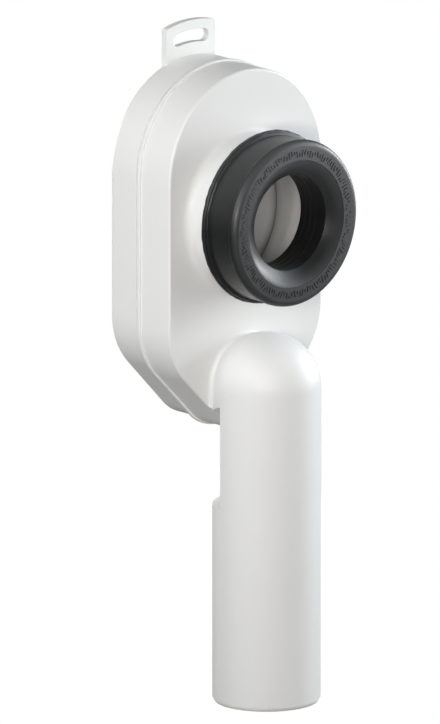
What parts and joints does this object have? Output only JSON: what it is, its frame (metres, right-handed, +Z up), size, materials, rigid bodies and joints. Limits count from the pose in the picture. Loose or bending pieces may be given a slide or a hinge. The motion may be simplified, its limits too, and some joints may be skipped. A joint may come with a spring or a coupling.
{
  "type": "urinal trap",
  "caption": "Flat two-shell urinal trap with a rubber push-on inlet seal, a hanging lug and a straight vertical outlet pipe.",
  "frame": {"origin": "on the inlet's axis, in the plane of the inlet seal's rear edge, inside the hole that grips the urinal's spigot", "axes": "+X to the right as seen from the front, -Y forwards along the inlet's axis towards the urinal, +Z up, so that the outlet pipe points along -Z"},
  "size_m": [0.098, 0.0796, 0.3134],
  "materials": {
    "white_plastic": "satin moulded polypropylene",
    "black_rubber": "matte moulded rubber"
  },
  "bodies": {
    "root": {"front_shell": "white_plastic", "rear_shell": "white_plastic", "partition_plate": "white_plastic", "inlet_seal": "black_rubber"}
  },
  "joints": []
}
